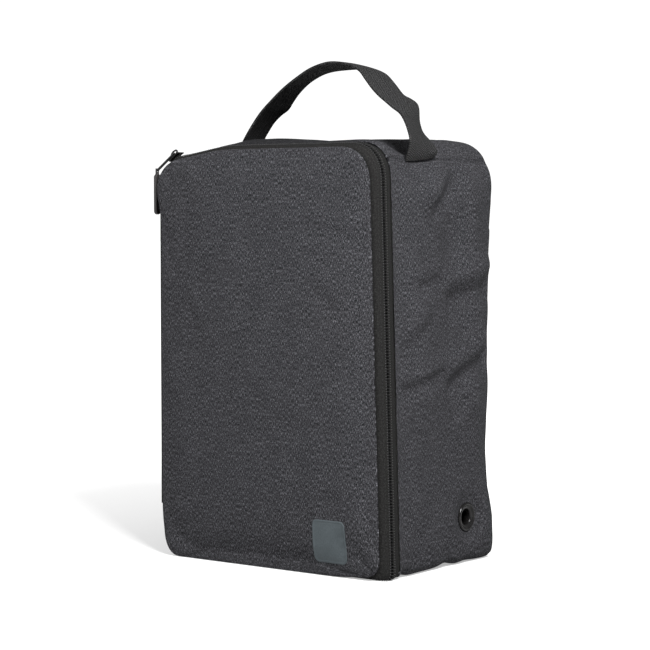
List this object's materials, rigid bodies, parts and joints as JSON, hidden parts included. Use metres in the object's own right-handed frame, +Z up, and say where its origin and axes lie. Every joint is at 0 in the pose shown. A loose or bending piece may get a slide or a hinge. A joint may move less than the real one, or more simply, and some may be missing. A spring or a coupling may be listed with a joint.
{
  "type": "shoe bag",
  "caption": "Upright soft box shoe bag of heathered fabric with a zipped front door, side vent eyelets, a cord zip pull and a webbing top handle.",
  "frame": {"origin": "on the ground, under the middle of the bag's 230 by 160 mm footprint", "axes": "+Z up, the zipped door faces -Y, +X is the side with the visible vent eyelet"},
  "size_m": [0.2426, 0.1606, 0.4115],
  "materials": {
    "heather_fabric": "heathered woven polyester",
    "foam_sheet": "soft foam sheet",
    "lining_cloth": "plain woven lining",
    "zip_tape": "woven zip tape",
    "zip_coil": "moulded nylon coil",
    "webbing": "herringbone webbing",
    "black_metal": "black lacquered metal",
    "grip_rubber": "soft moulded rubber",
    "pull_cord": "braided cord",
    "patch_print": "matt printed patch",
    "base_board": "stiff board"
  },
  "bodies": {
    "bag": {"top_panel": "heather_fabric", "right_side_panel": "heather_fabric", "bottom_panel": "heather_fabric", "left_side_panel": "heather_fabric", "back_panel": "heather_fabric", "top_foam": "foam_sheet", "right_side_foam": "foam_sheet", "bottom_foam": "foam_sheet", "left_side_foam": "foam_sheet", "back_foam": "foam_sheet", "body_lining": "lining_cloth", "rear_seam_binding": "lining_cloth", "base_board": "base_board", "right_eyelet": "black_metal", "left_eyelet": "black_metal", "right_eyelet_washer": "black_metal", "left_eyelet_washer": "black_metal", "body_zip_tape": "zip_tape", "body_zip_coil": "zip_coil", "handle_end_left": "webbing", "handle_end_right": "webbing"},
    "door": {"front_panel": "heather_fabric", "front_foam": "foam_sheet", "front_lining": "lining_cloth", "front_seam_binding": "lining_cloth", "door_zip_tape": "zip_tape", "door_zip_coil": "zip_coil", "front_patch": "patch_print"},
    "slider": {"slider_body": "black_metal", "slider_crown": "black_metal"},
    "pull_cord": {"pull_cord_loop": "pull_cord"},
    "pull_grip": {"pull_tab": "grip_rubber"},
    "handle": {"handle_webbing": "webbing"}
  },
  "joints": [
    {"name": "door_swing", "type": "hinge", "parent": "bag", "child": "door", "pos_m": [-0.115, -0.08, 0.171], "axis": [0, 0, -1], "range_deg": [0, 150]},
    {"name": "slider_travel", "type": "hinge", "parent": "bag", "child": "slider", "pos_m": [-0.085, -0.0702, 0.312], "axis": [0, 1, 0], "range_deg": [0, 23]},
    {"name": "pull_cord_swing", "type": "hinge", "parent": "slider", "child": "pull_cord", "pos_m": [-0.10552, -0.0702, 0.33923], "axis": [0, 1, 0], "range_deg": [0, 60]},
    {"name": "pull_grip_swing", "type": "hinge", "parent": "pull_cord", "child": "pull_grip", "pos_m": [-0.1245, -0.0702, 0.325], "axis": [0, 1, 0], "range_deg": [-10, 60]},
    {"name": "handle_fold", "type": "hinge", "parent": "bag", "child": "handle", "pos_m": [0.00815, -0.0073, 0.34875], "axis": [0.9917, -0.1283, 0.0026], "range_deg": [-55, 55], "stiffness_Nm_per_rad": 0.02}
  ]
}
